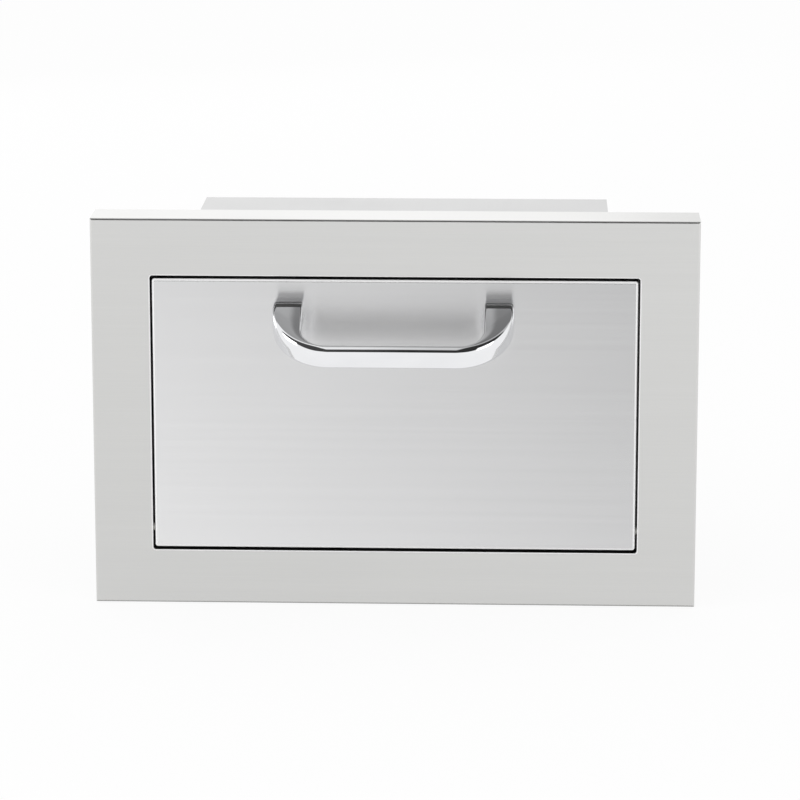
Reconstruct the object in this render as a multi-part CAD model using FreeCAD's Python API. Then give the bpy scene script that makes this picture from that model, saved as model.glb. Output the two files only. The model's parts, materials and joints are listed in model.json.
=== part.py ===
import FreeCAD, Part
import math
import os

# Built-in stainless cabinet for a roll of paper towels.
# A flanged face frame stands proud of an outdoor kitchen's wall, a sheet liner passes through the
# wall behind it, an inset door tilts down about pivots at its lower edge, and a sprung rod carries
# the roll. Millimetres. +Z is up, the front faces -Y and +X is on the right seen from the front.
# The origin is the middle of the frame's outline, on the wall plane that its rear lip rests on.

# Face frame
frame_width = 431.8
frame_height = 281.3
border_side = 41.9
border_top = 41.0
border_bottom = 39.3
frame_depth = 38.1
frame_sheet = 1.2
frame_bend = 1.5
wall_lip = 12.0
throat_depth = 22.0
throat_flange = 10.0
opening_corner = 2.0
opening_bend = 1.0

# Rebate frame behind the throat: the door closes in front of it and the liner hangs behind it
rebate_sheet = 1.2
rebate_top = 10.0
rebate_bottom = 6.0
rebate_side_cover = 12.0
rebate_margin = 12.0
rebate_rivet_inset = 41.0

# Liner box
liner_sheet = 1.0
liner_side_inset = 19.5
liner_rise = 13.0
liner_drop = 18.0
liner_reach = 215.9
liner_flange = 10.0
liner_rivet_inset_x = 20.0
liner_rivet_inset_z = 30.0
side_hole_radius = 2.75
side_hole_front = 25.0
side_hole_pitch_y = 150.0
side_hole_pitch_z = 170.0

# Door pan
gap_side = 1.5
gap_top = 2.2
gap_bottom = 2.2
door_sheet = 1.0
door_fold = 12.0
door_lip = 10.0
door_bend = 2.0
panel_sheet = 0.8
panel_inset = 2.5
panel_screw_inset = 6.5
panel_screw_rise = 21.5
panel_screw_length = 6.0

# Pivots at the door's lower corners
pivot_inset = 6.0
pivot_rise = 13.5
door_swing = 90.0
pivot_pin_radius = 2.0
pivot_pin_engagement = 10.0
pivot_head_radius = 3.5
pivot_head_height = 1.5
pivot_running = 0.05
pivot_hole_clearance = 0.6
pivot_washer_radius = 2.8
pivot_washer_clearance = 0.3
block_length = 16.0
block_height = 26.0
block_fold_clearance = 0.2
bracket_sheet = 1.5
bracket_half_height = 12.0
bracket_margin = 0.3

# Handle, a cast bow: its legs leave the door level, bend down and droop to the grip
handle_half_width = 85.2
handle_half_gap = 64.0
handle_lead = 14.0
handle_under_bend = 1.0
handle_reach = 46.1
handle_grip = 7.0
handle_height = 17.0
handle_tilt = 30.0
handle_outer_round = 41.0
handle_inner_round = 17.0
handle_brow = 3.0
handle_chin = 3.0
handle_inner_edge = 1.6
handle_top_inset = 13.0
handle_screw_drop = 8.5
handle_screw_depth = 10.0
handle_screw_radius = 1.9
handle_screw_clearance = 0.05
handle_screw_tip_gap = 1.0
handle_screw_head_radius = 3.8
handle_screw_head_height = 3.2
handle_hole_clearance = 0.3
washer_radius = 5.0
washer_height = 1.0

# Stays: quadrant strips about the pivot axis, with a stop pin at the tail
stay_radius = 75.0
stay_width = 10.0
stay_sheet = 2.0
stay_foot_width = 14.0
stay_foot_height = 30.0
stay_rivet_pitch = 18.0
stay_slot_clearance = 0.6
stay_slot_end_clearance = 1.2
stop_pin_radius = 3.0
stop_pin_length = 10.0
stop_clearance = 0.3
stay_tail_radius = 6.0

# Magnetic catch at the top of the rebate
catch_width = 46.0
catch_depth = 24.0
catch_height = 13.0
catch_wall = 2.5
catch_magnet_proud = 0.4
catch_magnet_depth = 8.0
catch_gap = 0.2
catch_screw_pitch = 38.0
catch_shelf = 16.0
catch_sheet = 1.2
catch_bracket_width = 50.0
catch_rivet_pitch = 36.0
strike_width = 42.0
strike_height = 12.0
strike_sheet = 1.0
strike_rivet_pitch = 30.0
bumper_radius = 5.0
bumper_round = 1.0
bumper_gap = 0.2
bumper_stem_radius = 2.0
bumper_bead = 0.5
bumper_bead_height = 1.0
bumper_drop = 40.0

# Roll rod and its brackets
rod_setback = 118.0
rod_rise = 112.0
rod_radius = 12.5
rod_wall = 1.5
stub_radius = 5.0
stub_running = 0.08
stub_end_gap = 0.2
rod_end_gap = 1.0
socket_depth = 8.0
socket_radius = 9.0
holder_sheet = 1.5
holder_width = 44.0
holder_height = 60.0
holder_corner = 7.5
holder_rivet_pitch_y = 30.0
holder_rivet_pitch_z = 44.0
cap_flange = 2.0
cap_plug = 12.0
plug_clearance = 0.05
collar_length = 8.0
collar_flange = 1.5
plunger_travel = 12.0
plunger_stem_radius = 9.0
plunger_running = 0.08
plunger_head = 12.0
plunger_reserve = 6.0
spring_length = 50.0
spring_radius = 8.0
spring_wire_radius = 0.7
spring_turns = 9
spring_seat = 4.0
spring_end_gap = 0.1

# Blind rivets and small screws
rivet_radius = 1.6
rivet_head_radius = 3.0
rivet_head_height = 1.0
rivet_clearance = 0.05
screw_radius = 1.5
screw_clearance = 0.05
screw_head_radius = 2.8
screw_head_height = 1.6

# Places worked out from the driving sizes
frame_half = frame_width / 2
opening_half = frame_half - border_side
frame_top = frame_height / 2
frame_bottom = -frame_top
opening_top = frame_top - border_top
opening_bottom = frame_bottom + border_bottom
front = -frame_depth
throat_back = front + throat_depth
rebate_back = throat_back + rebate_sheet
liner_half = opening_half - liner_side_inset
liner_inner = liner_half - liner_sheet
liner_top = opening_top + liner_rise
liner_bottom = opening_bottom - liner_drop
liner_middle = (liner_top + liner_bottom) / 2
rear_plate_y = liner_reach - liner_sheet
rear_flange_y = rear_plate_y - liner_sheet
hole_half = liner_inner - rebate_side_cover
hole_top = opening_top - rebate_top
hole_bottom = opening_bottom + rebate_bottom
door_half = opening_half - gap_side
door_top = opening_top - gap_top
door_bottom = opening_bottom + gap_bottom
door_back = front + door_fold
panel_back = door_back + panel_sheet
pivot_y = front + pivot_inset
pivot_z = door_bottom + pivot_rise
handle_bend = handle_height + handle_under_bend
stay_x =hole_half + rebate_side_cover / 2
strike_back = panel_back + strike_sheet
catch_front = strike_back + catch_gap + catch_magnet_proud
catch_back = catch_front + catch_depth
catch_middle_z = hole_top - catch_height / 2
rod_y = rebate_back + rod_setback
rod_z = liner_bottom + liner_sheet + rod_rise
holder_face = liner_inner - holder_sheet
socket_face = holder_face - socket_depth
overcut = 1.0  # how far a cut runs past the faces that it opens
touch = 0.01  # coordinates closer than this are the same place
sides = (-1, 1)


def box(x0, x1, y0, y1, z0, z1):
    """A block between two corners, given in either order."""
    low = FreeCAD.Vector(min(x0, x1), min(y0, y1), min(z0, z1))
    return Part.makeBox(abs(x1 - x0), abs(y1 - y0), abs(z1 - z0), low)


def bar_x(radius, x0, x1, y, z):
    """A round bar along X."""
    start = FreeCAD.Vector(min(x0, x1), y, z)
    return Part.makeCylinder(radius, abs(x1 - x0), start, FreeCAD.Vector(1, 0, 0))


def bar_y(radius, x, y0, y1, z):
    """A round bar along Y."""
    start = FreeCAD.Vector(x, min(y0, y1), z)
    return Part.makeCylinder(radius, abs(y1 - y0), start, FreeCAD.Vector(0, 1, 0))


def bar_z(radius, x, y, z0, z1):
    """A round bar along Z."""
    start = FreeCAD.Vector(x, y, min(z0, z1))
    return Part.makeCylinder(radius, abs(z1 - z0), start, FreeCAD.Vector(0, 0, 1))


def joined(*shapes):
    """One solid from shapes that overlap or share faces."""
    return shapes[0].fuse(list(shapes[1:])).removeSplitter()


def middle(edge):
    """The point halfway along an edge."""
    return edge.valueAt((edge.FirstParameter + edge.LastParameter) / 2)


def edges_where(shape, test):
    """The edges whose middle point passes a test."""
    return [edge for edge in shape.Edges if test(middle(edge))]


def near(a, b):
    """True for two coordinates at the same place."""
    return abs(a - b) < touch


def rounded_pan(x_half, y0, y1, z0, z1, radius):
    """A block with its front edges and its four edges along Y rounded."""
    block = box(-x_half, x_half, y0, y1, z0, z1)

    def on_front(p):
        return near(p.y, y0)

    def on_corner(p):
        return near(abs(p.x), x_half) and (near(p.z, z0) or near(p.z, z1))

    return block.makeFillet(radius, edges_where(block, lambda p: on_front(p) or on_corner(p)))


def rivet_y(x, z, head_y, tail_y, tail_head=True):
    """A blind rivet along Y: a low round head at head_y, and a set tail beyond tail_y."""
    away = 1 if head_y > tail_y else -1
    head = bar_y(rivet_head_radius, x, head_y, head_y + away * rivet_head_height, z)
    shank = bar_y(rivet_radius, x, head_y, tail_y, z)
    if not tail_head:
        return joined(head, shank)
    tail = bar_y(rivet_head_radius, x, tail_y, tail_y - away * rivet_head_height, z)
    return joined(head, shank, tail)


def rivet_hole_y(x, z, y0, y1):
    """The hole that a rivet along Y passes through."""
    return bar_y(rivet_radius + rivet_clearance, x, y0 - overcut, y1 + overcut, z)


def rivet_x(side, y, z, head_x, tail_x):
    """A blind rivet along X on one side of the cabinet, with its head outside."""
    head = bar_x(rivet_head_radius, side * head_x, side * (head_x + rivet_head_height), y, z)
    shank = bar_x(rivet_radius, side * head_x, side * tail_x, y, z)
    tail = bar_x(rivet_head_radius, side * tail_x, side * (tail_x - rivet_head_height), y, z)
    return joined(head, shank, tail)


def save(name, *solids):
    """Write one node, as one solid or a group of separate solids."""
    shape = solids[0] if len(solids) == 1 else Part.makeCompound(list(solids))
    shape.exportStep(os.path.join("parts", name + ".step"))
    print(name, len(shape.Solids), round(shape.Volume, 1), shape.isValid())


# Places of the rivets that join the rebate frame to the throat, and the liner to the rebate frame
rebate_rivet_x = opening_half + frame_sheet + throat_flange / 2
rebate_rivet_places = []
for x in (-opening_half + rebate_rivet_inset, 0.0, opening_half - rebate_rivet_inset):
    rebate_rivet_places.append((x, opening_top + frame_sheet + throat_flange / 2))
    rebate_rivet_places.append((x, opening_bottom - frame_sheet - throat_flange / 2))
for x in (-rebate_rivet_x, rebate_rivet_x):
    for z in (opening_top - rebate_rivet_inset, opening_bottom + rebate_rivet_inset):
        rebate_rivet_places.append((x, z))

liner_rivet_reach_x = liner_half - liner_rivet_inset_x
liner_rivet_reach_z = (liner_top - liner_bottom) / 2 - liner_rivet_inset_z
cover_rivet_columns = [step * liner_rivet_reach_x for step in (-1, 0, 1)]
top_rivets = [(x, liner_top + liner_flange / 2) for x in cover_rivet_columns]
bottom_rivets = [(x, liner_bottom - liner_flange / 2) for x in cover_rivet_columns]
side_rivet_heights = [liner_middle + step * liner_rivet_reach_z for step in (-1, 0, 1)]
catch_rivets = [(side * catch_rivet_pitch / 2, (hole_top + opening_top) / 2) for side in sides]
bumper_places = [(side * stay_x, opening_top - bumper_drop) for side in sides]


def flange_rivets(side):
    """Places of the rivets in one side plate's front flange."""
    return [(side * (liner_half + liner_flange / 2), z) for z in side_rivet_heights]


def face_frame():
    """Front face, outer return, rear lip, throat and the throat's rear flange, folded from one sheet."""
    shell = box(-frame_half, frame_half, front, 0, frame_bottom, frame_top)
    shell = shell.makeFillet(frame_bend, edges_where(shell, lambda p: near(p.y, front)))
    inner_half = frame_half - frame_sheet
    cavity = box(-inner_half, inner_half, front + frame_sheet, -frame_sheet,
                 frame_bottom + frame_sheet, frame_top - frame_sheet)
    rear_half = frame_half - wall_lip
    rear_hole = box(-rear_half, rear_half, -frame_sheet - overcut, overcut,
                    frame_bottom + wall_lip, frame_top - wall_lip)
    throat_half = opening_half + frame_sheet
    throat = box(-throat_half, throat_half, front + frame_sheet / 2, throat_back,
                 opening_bottom - frame_sheet, opening_top + frame_sheet)
    flange_half = throat_half + throat_flange
    flange = box(-flange_half, flange_half, throat_back - frame_sheet, throat_back,
                 opening_bottom - frame_sheet - throat_flange, opening_top + frame_sheet + throat_flange)
    passage = box(-opening_half, opening_half, front - overcut, throat_back + overcut,
                  opening_bottom, opening_top)

    def on_corner(p):
        return near(abs(p.x), opening_half) and (near(p.z, opening_bottom) or near(p.z, opening_top))

    passage = passage.makeFillet(opening_corner, edges_where(passage, on_corner))
    frame = joined(shell.cut([cavity, rear_hole]), throat, flange).cut(passage)

    def on_opening_edge(p):
        inside = opening_bottom - overcut < p.z < opening_top + overcut
        return near(p.y, front) and abs(p.x) < opening_half + overcut and inside

    frame = frame.makeFillet(opening_bend, edges_where(frame, on_opening_edge))
    holes = [rivet_hole_y(x, z, throat_back - frame_sheet, throat_back) for x, z in rebate_rivet_places]
    hole_radius = pivot_pin_radius + pivot_running
    for side in sides:
        holes.append(bar_x(hole_radius, side * (opening_half - overcut), side * (throat_half + overcut),
                           pivot_y, pivot_z))
    return frame.cut(holes)


def stay_slot(side):
    """The slot in the rebate frame that one stay runs through."""
    inner = stay_radius - stay_width / 2
    outer = stay_radius + stay_width / 2
    low = math.sqrt(inner ** 2 - (rebate_back - pivot_y) ** 2)
    high = math.sqrt(outer ** 2 - (throat_back - pivot_y) ** 2)
    half = stay_sheet / 2 + stay_slot_clearance
    return box(side * stay_x - half, side * stay_x + half, throat_back - overcut, rebate_back + overcut,
               pivot_z + low - stay_slot_end_clearance, pivot_z + high + stay_slot_end_clearance)


def rebate_frame():
    """The flat plate behind the throat: its hole is the way in to the liner."""
    half = opening_half + frame_sheet + rebate_margin
    low = min(liner_bottom - rebate_margin, opening_bottom - frame_sheet - rebate_margin)
    high = max(liner_top + rebate_margin, opening_top + frame_sheet + rebate_margin)
    plate = box(-half, half, throat_back, rebate_back, low, high)
    cuts = [box(-hole_half, hole_half, throat_back - overcut, rebate_back + overcut, hole_bottom, hole_top)]
    places = rebate_rivet_places + top_rivets + bottom_rivets + catch_rivets
    for side in sides:
        places = places + flange_rivets(side)
        cuts.append(stay_slot(side))
    cuts += [rivet_hole_y(x, z, throat_back, rebate_back) for x, z in places]
    for x, z in bumper_places:
        cuts.append(bar_y(bumper_stem_radius, x, throat_back - overcut, rebate_back + overcut, z))
    return plate.cut(cuts)


def liner_cover(z_inner, z_outer, upward, places):
    """The liner's top or bottom plate, with a front flange turned outwards."""
    plate = box(-liner_half, liner_half, rebate_back, rear_plate_y, z_inner, z_outer)
    flange = box(-liner_half, liner_half, rebate_back, rebate_back + liner_sheet,
                 z_inner, z_outer + upward * liner_flange)
    holes = [rivet_hole_y(x, z, rebate_back, rebate_back + liner_sheet) for x, z in places]
    return joined(plate, flange).cut(holes)


def side_holes(side):
    """Clearance holes for the screws that hold the liner to the wall's framing."""
    holes = []
    for y in (side_hole_front, side_hole_front + side_hole_pitch_y):
        for z in (liner_middle - side_hole_pitch_z / 2, liner_middle + side_hole_pitch_z / 2):
            holes.append(bar_x(side_hole_radius, side * (liner_inner - overcut),
                               side * (liner_half + overcut), y, z))
    return holes


def holder_rivet_places():
    """Places of the rivets of one roll bracket, on the liner's side."""
    places = []
    for y in (rod_y - holder_rivet_pitch_y / 2, rod_y + holder_rivet_pitch_y / 2):
        for z in (rod_z - holder_rivet_pitch_z / 2, rod_z + holder_rivet_pitch_z / 2):
            places.append((y, z))
    return places


def liner_side(side):
    """A side plate with a front flange turned outwards and a rear flange turned inwards."""
    z0 = liner_bottom + liner_sheet
    z1 = liner_top - liner_sheet
    plate = box(side * liner_inner, side * liner_half, rebate_back, rear_plate_y, z0, z1)
    outer = box(side * liner_inner, side * (liner_half + liner_flange),
                rebate_back, rebate_back + liner_sheet, z0, z1)
    inner = box(side * (liner_inner - liner_flange), side * liner_half, rear_flange_y, rear_plate_y, z0, z1)
    holes = [rivet_hole_y(x, z, rebate_back, rebate_back + liner_sheet) for x, z in flange_rivets(side)]
    holes += side_holes(side)
    for y, z in holder_rivet_places():
        holes.append(bar_x(rivet_radius + rivet_clearance, side * (liner_inner - overcut),
                           side * (liner_half + overcut), y, z))
    back_x = side * (liner_inner - liner_flange / 2)
    holes += [rivet_hole_y(back_x, z, rear_flange_y, rear_plate_y) for z in side_rivet_heights]
    return joined(plate, outer, inner).cut(holes)


def liner_back():
    """The flat rear plate."""
    plate = box(-liner_half, liner_half, rear_plate_y, liner_reach, liner_bottom, liner_top)
    holes = []
    for side in sides:
        back_x = side * (liner_inner - liner_flange / 2)
        holes += [rivet_hole_y(back_x, z, rear_plate_y, liner_reach) for z in side_rivet_heights]
    return plate.cut(holes)


def liner_rivets():
    """Rivets of the liner's front flanges, with heads behind, and of its rear plate."""
    rivets = []
    places = top_rivets + bottom_rivets
    for side in sides:
        places = places + flange_rivets(side)
        back_x = side * (liner_inner - liner_flange / 2)
        for z in side_rivet_heights:
            rivets.append(rivet_y(back_x, z, liner_reach, rear_flange_y))
    for x, z in places:
        rivets.append(rivet_y(x, z, rebate_back + liner_sheet, throat_back))
    return rivets


def rebate_rivets():
    """Rivets through the throat's flange and the rebate frame."""
    return [rivet_y(x, z, rebate_back, throat_back - frame_sheet) for x, z in rebate_rivet_places]


def pivot_bracket(side):
    """A plate on the throat's hidden side, which backs the pivot pin's head."""
    inner = opening_half + frame_sheet
    plate = box(side * inner, side * (inner + bracket_sheet), front + frame_sheet + bracket_margin,
                throat_back - frame_sheet - bracket_margin,
                pivot_z - bracket_half_height, pivot_z + bracket_half_height)
    return plate.cut(bar_x(pivot_pin_radius + pivot_running, side * (inner - overcut),
                           side * (inner + bracket_sheet + overcut), pivot_y, pivot_z))


def pivot_pin(side):
    """A headed pin through the bracket, the throat's wall and the washer, into the door's block."""
    head_x = opening_half + frame_sheet + bracket_sheet
    tip_x = door_half - door_sheet - pivot_pin_engagement
    head = bar_x(pivot_head_radius, side * head_x, side * (head_x + pivot_head_height), pivot_y, pivot_z)
    shank = bar_x(pivot_pin_radius, side * head_x, side * tip_x, pivot_y, pivot_z)
    return joined(head, shank)


def pivot_washer(side):
    """A washer on the pin, which keeps the door clear of the throat's wall."""
    inner = door_half + pivot_washer_clearance
    disc = bar_x(pivot_washer_radius, side * inner, side * opening_half, pivot_y, pivot_z)
    return disc.cut(bar_x(pivot_pin_radius + pivot_running, side * (inner - overcut),
                          side * (opening_half + overcut), pivot_y, pivot_z))


def panel_screw_places():
    """Places of the screws round the door's inner panel."""
    x = door_half - panel_screw_inset
    low = door_bottom + panel_screw_rise
    high = door_top - panel_screw_rise
    edge_low = door_bottom + panel_screw_inset
    edge_high = door_top - panel_screw_inset
    places = [(-x, low), (x, low), (-x, high), (x, high)]
    places += [(0.0, edge_low), (-door_half / 2, edge_high), (door_half / 2, edge_high)]
    return places


def stay_rivet_places(side):
    """Places of the rivets in one stay's foot."""
    x = side * (stay_x - stay_sheet / 2 - stay_foot_width / 2)
    middle_z = pivot_z + stay_radius
    return [(x, middle_z + step * stay_rivet_pitch / 2) for step in sides]


def strike_rivet_places():
    """Places of the strike plate's rivets."""
    return [(side * strike_rivet_pitch / 2, catch_middle_z) for side in sides]


def handle_foot(side):
    """Where a handle screw enters the handle's foot."""
    return side * (handle_half_width + handle_half_gap) / 2, door_top - handle_top_inset - handle_screw_drop


def door_skin():
    """The folded pan: front face, four sides and a lip turned inwards at the rear."""
    skin = rounded_pan(door_half, front, door_back, door_bottom, door_top, door_bend)
    inner_bend = door_bend - door_sheet
    hollow = rounded_pan(door_half - door_sheet, front + door_sheet, door_back - door_sheet,
                         door_bottom + door_sheet, door_top - door_sheet, inner_bend)
    lip = door_sheet + door_lip
    mouth = box(-door_half + lip, door_half - lip, door_back - 2 * door_sheet, door_back + overcut,
                door_bottom + lip, door_top - lip)
    cuts = [hollow, mouth]
    for x, z in panel_screw_places():
        cuts.append(bar_y(screw_radius + screw_clearance, x, door_back - 2 * door_sheet,
                          door_back + overcut, z))
    for side in sides:
        x, z = handle_foot(side)
        cuts.append(bar_y(handle_screw_radius + handle_hole_clearance, x, front - overcut,
                          front + 2 * door_sheet, z))
        cuts.append(bar_x(pivot_pin_radius + pivot_hole_clearance, side * (door_half - 2 * door_sheet),
                          side * (door_half + overcut), pivot_y, pivot_z))
    return skin.cut(cuts)


def door_inner_panel():
    """The flat sheet that closes the pan from behind."""
    half = door_half - panel_inset
    panel = box(-half, half, door_back, panel_back, door_bottom + panel_inset, door_top - panel_inset)
    holes = []
    for x, z in panel_screw_places():
        holes.append(bar_y(screw_radius + screw_clearance, x, door_back - overcut, panel_back + overcut, z))
    places = strike_rivet_places()
    for side in sides:
        places = places + stay_rivet_places(side)
    holes += [rivet_hole_y(x, z, door_back, panel_back) for x, z in places]
    return panel.cut(holes)


def inner_panel_screws():
    """Pan-head screws through the panel and the pan's lip; the lowest pair also hold the pivot blocks."""
    screws = []
    for x, z in panel_screw_places():
        head = bar_y(screw_head_radius, x, panel_back, panel_back + screw_head_height, z)
        shank = bar_y(screw_radius, x, panel_back - panel_screw_length, panel_back, z)
        screws.append(joined(head, shank))
    return screws


def pivot_block(side):
    """A moulded block in the pan's lower corner, bored for the pivot pin."""
    outer = side * (door_half - door_sheet)
    inner = outer - side * block_length
    y0 = front + door_sheet
    y1 = door_back - door_sheet
    z0 = door_bottom + door_sheet
    block = box(outer, inner, y0, y1, z0, z0 + block_height)
    relief = door_bend - door_sheet + block_fold_clearance

    def in_fold(p):
        folds = (near(p.x, outer), near(p.y, y0), near(p.z, z0))
        return sum(folds) == 2

    block = block.makeChamfer(relief, edges_where(block, in_fold))
    bore = bar_x(pivot_pin_radius + pivot_running, outer + side * overcut, inner - side * overcut,
                 pivot_y, pivot_z)
    screw_x = side * (door_half - panel_screw_inset)
    screw_hole = bar_y(screw_radius + screw_clearance, screw_x, panel_back - panel_screw_length - overcut,
                       y1 + overcut, door_bottom + panel_screw_rise)
    return block.cut([bore, screw_hole])


def bow_outline(half, reach, corner, tail):
    """A U-shaped outline in the handle's drooping plane: legs from a tail, corners and a grip."""
    turn = corner * (1 - math.sqrt(0.5))
    points = [
        (-half, tail), (-half, -(reach - corner)), (-half + turn, -(reach - turn)), (-half + corner, -reach),
        (half - corner, -reach), (half - turn, -(reach - turn)), (half, -(reach - corner)), (half, tail)]
    p = [FreeCAD.Vector(x, y, 0) for x, y in points]
    edges = [Part.LineSegment(p[0], p[1]).toShape(), Part.Arc(p[1], p[2], p[3]).toShape(),
             Part.LineSegment(p[3], p[4]).toShape(), Part.Arc(p[4], p[5], p[6]).toShape(),
             Part.LineSegment(p[6], p[7]).toShape(), Part.LineSegment(p[7], p[0]).toShape()]
    return Part.Face(Part.Wire(edges))


def drooping_bow():
    """The handle's corners and grip: a flat plate with a heavily rounded outer edge, cut out inside."""
    down = FreeCAD.Vector(0, 0, -handle_height)
    body = bow_outline(handle_half_width, handle_reach, handle_outer_round, 0).extrude(down)
    top_edges = edges_where(body, lambda p: near(p.z, 0) and not near(p.y, 0))
    body = body.makeFillet(handle_brow, top_edges)
    low_edges = edges_where(body, lambda p: near(p.z, -handle_height) and not near(p.y, 0))
    body = body.makeFillet(handle_chin, low_edges)
    inner_reach = handle_reach - handle_grip
    window = bow_outline(handle_half_gap, inner_reach, handle_inner_round, overcut)
    window.translate(FreeCAD.Vector(0, 0, overcut))
    body = body.cut(window.extrude(FreeCAD.Vector(0, 0, -handle_height - 2 * overcut)))

    def on_inner_edge(p):
        inside = abs(p.x) <= handle_half_gap + touch and -p.y <= inner_reach + touch
        return inside and not near(p.y, 0) and (near(p.z, 0) or near(p.z, -handle_height))

    return body.makeFillet(handle_inner_edge, edges_where(body, on_inner_edge))


def handle():
    """A cast bow: each leg's section is turned round the bend and drawn level to the door."""
    body = drooping_bow()
    tilt = math.radians(handle_tilt)
    centre = FreeCAD.Vector(0, 0, -handle_bend)
    turning = FreeCAD.Vector(-1, 0, 0)
    level = FreeCAD.Vector(0, math.cos(tilt), -math.sin(tilt))
    roots = []
    for face in body.Faces:
        if near(face.BoundBox.YMin, 0) and near(face.BoundBox.YMax, 0):
            roots.append(face.revolve(centre, turning, handle_tilt))
            turned = face.copy()
            turned.rotate(centre, turning, handle_tilt)
            roots.append(turned.extrude(level * handle_lead))
    body = joined(body, *roots)
    body.rotate(FreeCAD.Vector(0, 0, 0), FreeCAD.Vector(1, 0, 0), handle_tilt)
    root_y = handle_bend * math.sin(tilt) + handle_lead
    root_z = handle_bend * (1 - math.cos(tilt))
    body.translate(FreeCAD.Vector(0, front - root_y, door_top - handle_top_inset - root_z))
    holes = []
    for side in sides:
        x, z = handle_foot(side)
        holes.append(bar_y(handle_screw_radius, x, front - handle_screw_depth, front + overcut, z))
    return body.cut(holes)


def handle_washers():
    """A plain washer behind the skin under each handle screw."""
    washers = []
    for side in sides:
        x, z = handle_foot(side)
        disc = bar_y(washer_radius, x, front + door_sheet, front + door_sheet + washer_height, z)
        hole = bar_y(handle_screw_radius + handle_hole_clearance, x, front, front + door_fold, z)
        washers.append(disc.cut(hole))
    return washers


def handle_screws():
    """Screws from inside the pan, through the washer and the skin, into the handle's feet."""
    screws = []
    seat = front + door_sheet + washer_height
    for side in sides:
        x, z = handle_foot(side)
        head = bar_y(handle_screw_head_radius, x, seat, seat + handle_screw_head_height, z)
        radius = handle_screw_radius - handle_screw_clearance
        shank = bar_y(radius, x, front - handle_screw_depth + handle_screw_tip_gap, seat, z)
        screws.append(joined(head, shank))
    return screws


def stop_pin_angle():
    """The stay's tail angle at rest, so that its pin meets the rebate frame when the door is fully open."""
    reach = rebate_back - pivot_y + stop_pin_radius + stop_clearance
    return math.degrees(math.acos(reach / stay_radius)) - door_swing


def stop_pin_place():
    """The stop pin's centre at rest."""
    angle = math.radians(stop_pin_angle())
    return pivot_y + stay_radius * math.cos(angle), pivot_z + stay_radius * math.sin(angle)


def stay(side):
    """A quadrant strip about the pivot axis, with a round tail and a bent foot on the inner panel."""
    x0 = side * stay_x - stay_sheet / 2
    centre = FreeCAD.Vector(x0, pivot_y, pivot_z)
    along = FreeCAD.Vector(1, 0, 0)
    outer = Part.makeCylinder(stay_radius + stay_width / 2, stay_sheet, centre, along)
    inner = Part.makeCylinder(stay_radius - stay_width / 2, stay_sheet + 2 * overcut,
                              centre - along * overcut, along)
    ring = outer.cut(inner)
    span = 2 * stay_radius
    angle = math.radians(stop_pin_angle())
    points = [(0.0, 0.0), (span * math.cos(angle), span * math.sin(angle)), (span, span), (0.0, span)]
    corners = [FreeCAD.Vector(x0 - overcut, pivot_y + y, pivot_z + z) for y, z in points]
    wedge = Part.Face(Part.makePolygon(corners + corners[:1])).extrude(along * (stay_sheet + 2 * overcut))
    door_side = box(x0 - overcut, x0 + stay_sheet + overcut, front - span, panel_back,
                    pivot_z - span, pivot_z + span)
    y, z = stop_pin_place()
    tail = bar_x(stay_tail_radius, x0, x0 + stay_sheet, y, z)
    foot_inner = side * (stay_x - stay_sheet / 2 - stay_foot_width)
    foot = box(foot_inner, side * (stay_x + stay_sheet / 2), panel_back, panel_back + stay_sheet,
               pivot_z + stay_radius - stay_foot_height / 2, pivot_z + stay_radius + stay_foot_height / 2)
    strip = joined(ring.common(wedge).cut(door_side), tail, foot)
    holes = [bar_x(stop_pin_radius, x0 - overcut, x0 + stay_sheet + overcut, y, z)]
    holes += [rivet_hole_y(x, z, panel_back, panel_back + stay_sheet) for x, z in stay_rivet_places(side)]
    return strip.cut(holes)


def stay_stop_pins():
    """A pin through each stay's tail, standing out on both sides."""
    y, z = stop_pin_place()
    pins = []
    for side in sides:
        x = side * stay_x
        pins.append(bar_x(stop_pin_radius, x - stop_pin_length / 2, x + stop_pin_length / 2, y, z))
    return pins


def stay_rivets():
    """Rivets from inside the pan, flush behind the stay's foot."""
    rivets = []
    for side in sides:
        for x, z in stay_rivet_places(side):
            rivets.append(rivet_y(x, z, door_back, panel_back + stay_sheet, tail_head=False))
    return rivets


def strike_plate():
    """The flat steel plate that the magnets hold."""
    plate = box(-strike_width / 2, strike_width / 2, panel_back, strike_back,
                catch_middle_z - strike_height / 2, catch_middle_z + strike_height / 2)
    return plate.cut([rivet_hole_y(x, z, panel_back, strike_back) for x, z in strike_rivet_places()])


def strike_rivets():
    """Rivets from inside the pan, flush with the strike's face."""
    return [rivet_y(x, z, door_back, strike_back, tail_head=False) for x, z in strike_rivet_places()]


def catch_bracket():
    """An angle riveted behind the rebate frame, with a shelf that the catch hangs from."""
    half = catch_bracket_width / 2
    upright = box(-half, half, rebate_back, rebate_back + catch_sheet, hole_top, opening_top)
    shelf = box(-half, half, rebate_back, rebate_back + catch_shelf, hole_top, hole_top + catch_sheet)
    holes = [rivet_hole_y(x, z, rebate_back, rebate_back + catch_sheet) for x, z in catch_rivets]
    for x, y in catch_screw_places():
        holes.append(bar_z(screw_radius + screw_clearance, x, y, hole_top - overcut,
                           hole_top + 2 * catch_sheet))
    return joined(upright, shelf).cut(holes)


def catch_screw_places():
    """Places of the screws that hang the catch from its shelf."""
    y = rebate_back + catch_shelf / 2
    return [(side * catch_screw_pitch / 2, y) for side in sides]


def catch_pocket():
    """The space for the magnets, open to the front of the catch."""
    half = catch_screw_pitch / 2 - screw_radius - catch_wall
    return box(-half, half, catch_front - catch_magnet_proud, catch_front + catch_magnet_depth,
               hole_top - catch_height + catch_wall, hole_top - catch_wall)


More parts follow.
